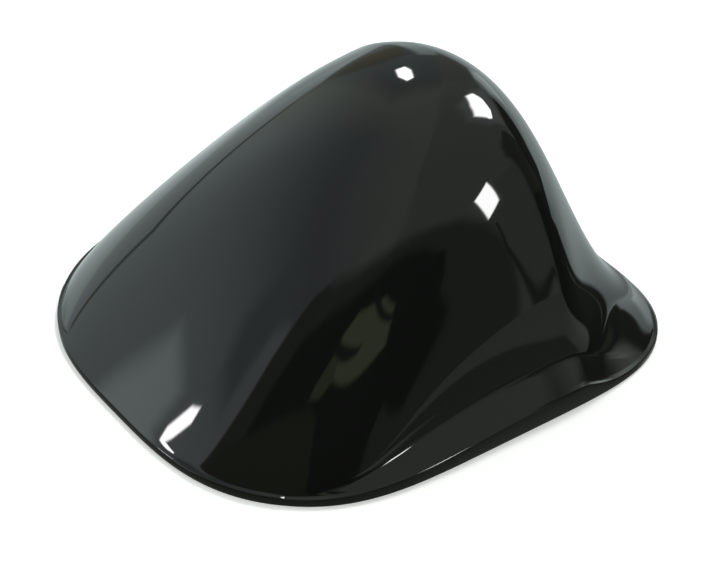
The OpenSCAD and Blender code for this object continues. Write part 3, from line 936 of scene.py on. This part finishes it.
# Everything else in the room, painted in this order: level, tint, softness and corners. All
# angles are degrees, azimuth from the camera's side to its right, then elevation.
PANELS = (
    # ceiling over the right side, grey wall behind, table and its far edge
    (0.45, ROOM, 9.0, ((12, -90), (12, 99), (182, 99), (182, -90))),
    (0.36, CLOTH, 5.0, ((-186, -90), (-186, 48), (-160, 48), (-156, -90))),
    (0.92, CLOTH, 0.9, ((-200, -90), (-190, -20), (-160, 9.5), (-150, 12.4), (-129, 12.2),
                        (-122, 3), (-110, -25), (-100, -90))),
    (0.24, BROWN, 2.4, ((-175, 7), (-173, 20), (-168, 22), (-162, 17), (-161, 11), (-168, 4))),
    (0.25, BROWN, 0.6, ((-158, 12.2), (-150, 13.7), (-128, 13.6), (-128.5, 12.2))),
    (0.30, BROWN, 0.7, ((-129.8, 13), (-127.5, 13.4), (-120.6, 3), (-122.5, 3))),
    (1.00, CLOTH, 1.5, ((-192, -90), (-192, 26), (-176, 22), (-175, -90))),
    # boards beside the left lamp
    (0.48, CLOTH, 3.5, ((-91, 38), (-91, 52), (-78, 53), (-77, 34), (-86, 33))),
    (0.80, CLOTH, 2.0, ((-76, 34), (-76, 46), (-71, 50), (-66, 50), (-66, 34))),
    (1.90, CLOTH, 2.0, ((-100, 14), (-100, 25), (-92.5, 25), (-92.5, 14))),
    # dark room on the camera's side, from its soft border inwards
    (0.17, ROOM, 2.8, ((-66, -90), (-66, 44), (-62, 57), (-54, 62.5), (-40, 66), (-12, 68.3),
                       (12, 67.5), (28, 64.5), (42, 58.5), (52, 51), (59, 39), (60.5, 22),
                       (60.5, -90))),
    (0.16, ROOM, 0.9, ((-69.8, -90), (-69.8, 34), (-68.8, 46), (-66.6, 53), (-64, 57.5),
                       (-57, 61.5), (-50, 62), (-50, -90))),
    (0.05, ROOM, 2.0, ((-56, -90), (-59, 44), (-53, 54), (-36, 60.5), (-10, 63), (14, 62.5),
                       (28, 59.5), (38, 53.5), (43.5, 46), (43.5, -90))),
    (0.17, ROOM, 0.6, ((46.5, -90), (46, 38), (59.5, 33), (60.3, 24), (67.2, -20), (78.2, -90))),
    (0.045, ROOM, 0.6, ((36, 50), (45.6, 45), (46.8, 36), (47, 30), (45, 21), (36, 10))),
    (0.045, ROOM, 0.6, ((44, 40), (46.2, 42.5), (51, 22), (59.3, 2), (45, 20.5))),
    # brown board, window and its bars
    (0.12, OLIVE, 1.4, ((-70, -90), (-66, 33), (-56, 38.5), (-46, 43), (-33, 46.5), (-16, 47.3),
                        (-6, 44), (-3, 39), (0.5, 30), (4, -90))),
    (0.46, OLIVE, 0.8, ((-11, 52.2), (-9, 56.5), (0, 58.2), (10, 56.5), (21, 53.5), (29.5, 47),
                        (33.5, 38))),
    (0.28, OLIVE, 0.8, ((-21, 48.4), (-19.5, 50.6), (-11, 54), (-3, 52), (-2, 49.3), (-10, 48))),
    (0.07, ROOM, 0.6, ((-14, 55), (-10, 56), (4, 52.5), (16, 48.6), (14, 48.2), (2, 50.8))),
    (0.07, ROOM, 0.5, ((8, 59.5), (11, 59.5), (31.5, 44), (30.5, 43.5))),
    # right of the thin upright, and the upright
    (0.38, ROOM, 0.6, ((78.2, -90), (67.2, -20), (60.3, 24), (60.3, 52), (110, 56), (150, -90))),
    (0.08, ROOM, 0.25, ((60.0, 36), (60.6, 36), (60.7, 24), (60.1, 24))),
    (0.08, ROOM, 0.25, ((60.0, 24), (60.7, 24), (67.6, -20), (66.9, -20))),
    # bright side behind to the right, and the glow round its lamp
    (1.05, CLOTH, 1.8, ((131, -90), (131, 4), (148, 38), (158, 41), (192, 30), (192, -90))),
    (2.10, CLOTH, 2.5, ((146, 6), (149, 32), (162, 34), (163, 22), (160, 6))),
    (0.38, ROOM, 2.5, ((164, 18), (163, 40), (172, 45), (186, 44), (186, 18))),
    (0.82, CLOTH, 3.0, ((130, 42), (130, 64), (150, 67), (168, 60), (166, 50), (156, 42))),
    # dark things to the right
    (0.14, BROWN, 1.0, ((66.5, 1), (64.6, 8), (65.2, 20), (67.5, 30), (72.5, 41), (80, 50.5),
                        (88, 58), (97, 61.5), (106, 62.5), (116, 61), (121, 57), (122.5, 50),
                        (124, -21), (100, -15), (84, -10), (72, -4))),
    (0.05, ROOM, 1.6, ((67, 2), (66, 12), (67, 22), (71, 34), (84, 31), (97, 22), (110, 12),
                       (124, 0), (124, -21), (100, -15), (84, -10), (72, -4))),
    (0.06, ROOM, 1.8, ((118, -20), (117, 26), (128, 36), (131, 36), (131, -24))),
    (0.07, ROOM, 1.8, ((122, 10), (124, 30), (130, 37.5), (148, 38), (133, 8))),
    # lamps: right, behind to the right, behind to the left, left
    (24.0, (1, 1, 1), 0.35, ((69, 56), (65, 44), (59, 40), (59, 53))),
    (24.0, (1, 1, 1), 0.9, ((137, 58), (138, 62), (150, 64), (160, 59.5), (167, 54), (163, 50),
                            (154, 48.5), (144, 50))),
    (24.0, (1, 1, 1), 0.5, ((-171.6, 34), (-171.2, 39.5), (-169, 40.5), (-167.6, 36.5),
                            (-168.4, 31), (-170.6, 30.5))),
    (24.0, (1, 1, 1), 0.35, ((-87.8, 27.2), (-85.2, 28.9), (-84.7, 27.3), (-87, 23.9),
                             (-89.6, 21.1), (-90.1, 23))),
)
# Painted reflection of the table: the glowing levels that the gloss shows of it, by direction
# from the point TABLE_FROM above it
TABLE_FROM = (0.09, 0, 0.08)
TABLE = (
    (0.74, CLOTH, 1.0, ((-190, -99), (-190, 9), (190, 9), (190, -99))),
    (1.20, CLOTH, 7.0, ((-152, -17), (-152, 19), (-88, 19), (-88, -17))),
    (0.54, CLOTH, 7.0, ((50, -99), (50, -14), (199, -14), (199, -99))),
    (1.02, CLOTH, 4.0, ((120, -6), (120, 19), (199, 19), (199, -6))),
    (0.17, ROOM, 4.0, ((-72, -99), (-72, 9), (66, 9), (66, -99))),
    (0.50, ROOM, 2.0, ((-12, -18), (-12, 9), (35, 9), (20, -18))),
    (0.37, ROOM, 2.0, ((45, -40), (45, 9), (66, 9), (66, -40))),
    # painted shade of the cowl on the table beside its front foot
    (0.035, ROOM, 1.2, ((66, -44), (66, 9), (114, 9), (110, -8), (100, -18), (88, -29),
                        (74, -40))),
    (0.16, ROOM, 0.7, ((79, -31), (89, -20), (99, -4), (100.5, -5), (90.5, -21), (80.5, -32))),
)
# Azimuths where the room is cut into parts, so that a ray works out only one of them
PARTS = (-181, -71, 61, 181)


def room_group(name, base, panels, with_sweep):
    """Panels of the studio as a colour by direction."""
    tree = bpy.data.node_groups.new(name, "ShaderNodeTree")
    tree.interface.new_socket("Direction", in_out="INPUT", socket_type="NodeSocketVector")
    tree.interface.new_socket("Color", in_out="OUTPUT", socket_type="NodeSocketColor")
    ins = new_node(tree, "NodeGroupInput")
    outs = new_node(tree, "NodeGroupOutput")
    unit = new_node(tree, "ShaderNodeVectorMath", operation="NORMALIZE")
    tree.links.new(ins.outputs["Direction"], unit.inputs[0])
    turn = new_node(tree, "ShaderNodeMapping", vector_type="POINT")
    turn.inputs["Rotation"].default_value = (0, 0, -math.radians(base))
    tree.links.new(unit.outputs[0], turn.inputs["Vector"])
    az, z = azimuth_of(tree, turn.outputs[0])
    el = math_node(tree, "MULTIPLY", math_node(tree, "ARCSINE", z), 180 / math.pi)
    place = new_node(tree, "ShaderNodeCombineXYZ")
    tree.links.new(az, place.inputs["X"])
    tree.links.new(el, place.inputs["Y"])
    place.inputs["Z"].default_value = 1.0

    def inside(soft, corners):
        """1 inside the panel's corners, which run clockwise, and 0 outside."""
        least = None
        for (x0, y0), (x1, y1) in zip(corners, corners[1:] + corners[:1]):
            length = math.hypot(x1 - x0, y1 - y0)
            nx, ny = (y1 - y0) / length, (x0 - x1) / length
            side = new_node(tree, "ShaderNodeVectorMath", operation="DOT_PRODUCT")
            tree.links.new(place.outputs[0], side.inputs[0])
            side.inputs[1].default_value = (nx, ny, -x0 * nx - y0 * ny)
            least = side.outputs["Value"] if least is None else math_node(
                tree, "MINIMUM", least, side.outputs["Value"])
        return smooth_range(tree, least, -soft, soft)

    def paint(under, over, mask):
        node = new_node(tree, "ShaderNodeMix", data_type="RGBA")
        tree.links.new(mask, node.inputs["Factor"])
        for key, colour in (("A", under), ("B", over)):
            if isinstance(colour, tuple):
                node.inputs[key].default_value = (*colour, 1)
            else:
                tree.links.new(colour, node.inputs[key])
        return node.outputs["Result"]

    def tinted(level, tint):
        return tuple(level * c for c in tint)

    total = tinted(CEILING, ROOM)
    if with_sweep:
        cloth = tinted(SWEEP_LEVELS[0][1], CLOTH)
        for (low, _), (high, level) in zip(SWEEP_LEVELS, SWEEP_LEVELS[1:]):
            cloth = paint(cloth, tinted(level, CLOTH), smooth_range(tree, el, low, high))
        total = paint(total, cloth, inside(*SWEEP))
    for level, tint, soft, corners in panels:
        total = paint(total, tinted(level, tint), inside(soft, corners))
    tree.links.new(total, outs.inputs["Color"])
    return tree


def azimuth_of(tree, direction):
    """Azimuth in degrees and the upward share of a direction already turned to the camera."""
    parts = new_node(tree, "ShaderNodeSeparateXYZ")
    tree.links.new(direction, parts.inputs[0])
    x, y, z = parts.outputs
    flat = math_node(tree, "ARCTAN2", x, math_node(tree, "MULTIPLY", y, -1.0))
    return math_node(tree, "MULTIPLY", flat, 180 / math.pi), z


def room_light(tree, direction, base, level):
    """Shader that shows the part of the room which lies in the given direction."""
    turn = new_node(tree, "ShaderNodeMapping", vector_type="POINT")
    turn.inputs["Rotation"].default_value = (0, 0, -math.radians(base))
    tree.links.new(direction, turn.inputs["Vector"])
    az, _ = azimuth_of(tree, turn.outputs[0])
    total = None
    # the sweep lies in the first two parts
    for part in range(len(PARTS) - 1):
        low, high = PARTS[part], PARTS[part + 1]
        panels = [row for row in PANELS if max(c[0] for c in row[3]) + row[2] > low
                  and min(c[0] for c in row[3]) - row[2] < high]
        room = new_node(tree, "ShaderNodeGroup", node_tree=room_group(
            "Studio part %d" % (part + 1), base, panels, part < 2))
        tree.links.new(direction, room.inputs["Direction"])
        light = new_node(tree, "ShaderNodeBackground")
        light.inputs["Strength"].default_value = level
        tree.links.new(room.outputs["Color"], light.inputs["Color"])
        if total is None:
            total = light.outputs[0]
            continue
        pick = new_node(tree, "ShaderNodeMixShader")
        tree.links.new(math_node(tree, "GREATER_THAN", az, PARTS[part]), pick.inputs["Fac"])
        tree.links.new(total, pick.inputs[1])
        tree.links.new(light.outputs[0], pick.inputs[2])
        total = pick.outputs[0]
    return total


def room_world(base, level):
    """The room lights the object and shows in it; the camera itself sees plain white."""
    world = bpy.data.worlds.new("Studio room")
    bpy.context.scene.world = world
    world.use_nodes = True
    tree = world.node_tree
    tree.nodes.clear()
    out = new_node(tree, "ShaderNodeOutputWorld")
    where = new_node(tree, "ShaderNodeTexCoord")
    light = room_light(tree, where.outputs["Generated"], base, level)
    plain = new_node(tree, "ShaderNodeBackground")
    plain.inputs["Color"].default_value = (1, 1, 1, 1)
    path = new_node(tree, "ShaderNodeLightPath")
    pick = new_node(tree, "ShaderNodeMixShader")
    tree.links.new(path.outputs["Is Camera Ray"], pick.inputs["Fac"])
    tree.links.new(light, pick.inputs[1])
    tree.links.new(plain.outputs[0], pick.inputs[2])
    tree.links.new(pick.outputs[0], out.inputs["Surface"])


def floor_material(base):
    """White table: pale to the camera; in the gloss a painted reflection that glows with the
    room's colour in that direction, with painted shade beside the cowl's front foot.
    """
    mat = bpy.data.materials.new("White table")
    mat.use_nodes = True
    tree = mat.node_tree
    tree.nodes.clear()
    out = new_node(tree, "ShaderNodeOutputMaterial")
    board = new_node(tree, "ShaderNodeBsdfDiffuse")
    board.inputs["Color"].default_value = (0.86, 0.86, 0.86, 1)
    path = new_node(tree, "ShaderNodeLightPath")
    lift = new_node(tree, "ShaderNodeEmission")
    tree.links.new(math_node(tree, "MULTIPLY", path.outputs["Is Camera Ray"], 0.40),
                   lift.inputs["Strength"])
    both = new_node(tree, "ShaderNodeAddShader")
    tree.links.new(board.outputs[0], both.inputs[0])
    tree.links.new(lift.outputs[0], both.inputs[1])
    where = new_node(tree, "ShaderNodeTexCoord")
    below = new_node(tree, "ShaderNodeVectorMath", operation="SUBTRACT")
    below.inputs[1].default_value = TABLE_FROM
    tree.links.new(where.outputs["Object"], below.inputs[0])
    room = new_node(tree, "ShaderNodeGroup",
                    node_tree=room_group("Painted table reflection", base, TABLE, False))
    tree.links.new(below.outputs[0], room.inputs["Direction"])
    painted_reflection = new_node(tree, "ShaderNodeEmission")
    tree.links.new(room.outputs["Color"], painted_reflection.inputs["Color"])
    pick = new_node(tree, "ShaderNodeMixShader")
    # glossy rays see the painted reflection, a glow, not the table's own lit colour
    tree.links.new(path.outputs["Is Glossy Ray"], pick.inputs["Fac"])
    tree.links.new(both.outputs[0], pick.inputs[1])
    tree.links.new(painted_reflection.outputs[0], pick.inputs[2])
    tree.links.new(pick.outputs[0], out.inputs["Surface"])
    return mat


class COWL_OT_stage(bpy.types.Operator):
    """Build the table, the room with its lamps, and the camera"""
    bl_idname = "cowl.stage"
    bl_label = "Studio"

    def execute(self, context):
        view = studio()
        base = view.azimuth
        size, top = 4.0, -0.0002
        corners = [(-size, -size, top), (size, -size, top), (size, size, top), (-size, size, top)]
        floor = mesh_object("table_top", corners, [(0, 1, 2, 3)], [floor_material(base)],
                            smooth=False)
        room_world(base, view.room_level)
        camera = bpy.data.cameras.new("photo_camera")
        camera.sensor_width = 36.0
        camera.lens = view.focal * 36.0 / 714.0
        camera.clip_start = 0.01
        obj = bpy.data.objects.new("photo_camera", camera)
        back = direction(0, view.elevation, base)
        obj.location = Vector(view.target) + back * view.distance
        obj.rotation_euler = back.to_track_quat("Z", "Y").to_euler()
        bpy.context.scene.collection.objects.link(obj)
        bpy.context.scene.camera = obj
        bpy.context.scene.view_settings.view_transform = "Standard"
        return {"FINISHED"}


PIECES = (COWL_OT_shell, COWL_OT_stays, COWL_OT_inserts, COWL_OT_screws, COWL_OT_stage)


class COWL_PT_panel(bpy.types.Panel):
    bl_idname = "COWL_PT_panel"
    bl_label = "Seat cowl"
    bl_space_type = "VIEW_3D"
    bl_region_type = "UI"
    bl_category = "Seat cowl"

    def draw(self, context):
        for piece in PIECES:
            self.layout.operator(piece.bl_idname)
        for group in (shape(), finish(), studio()):
            box = self.layout.box()
            for key in group.__annotations__:
                box.prop(group, key)


CLASSES = (CowlShape, CowlFinish, CowlStudio) + PIECES + (COWL_PT_panel,)


def register():
    for item in CLASSES:
        bpy.utils.register_class(item)
    bpy.types.Scene.cowl_shape = PointerProperty(type=CowlShape)
    bpy.types.Scene.cowl_finish = PointerProperty(type=CowlFinish)
    bpy.types.Scene.cowl_studio = PointerProperty(type=CowlStudio)


def unregister():
    del bpy.types.Scene.cowl_studio
    del bpy.types.Scene.cowl_finish
    del bpy.types.Scene.cowl_shape
    for item in reversed(CLASSES):
        bpy.utils.unregister_class(item)


def main():
    register()
    bpy.ops.cowl.stage()
    bpy.ops.cowl.shell()
    bpy.ops.cowl.stays()
    bpy.ops.cowl.inserts()
    bpy.ops.cowl.screws()


if __name__ == "__main__":
    main()
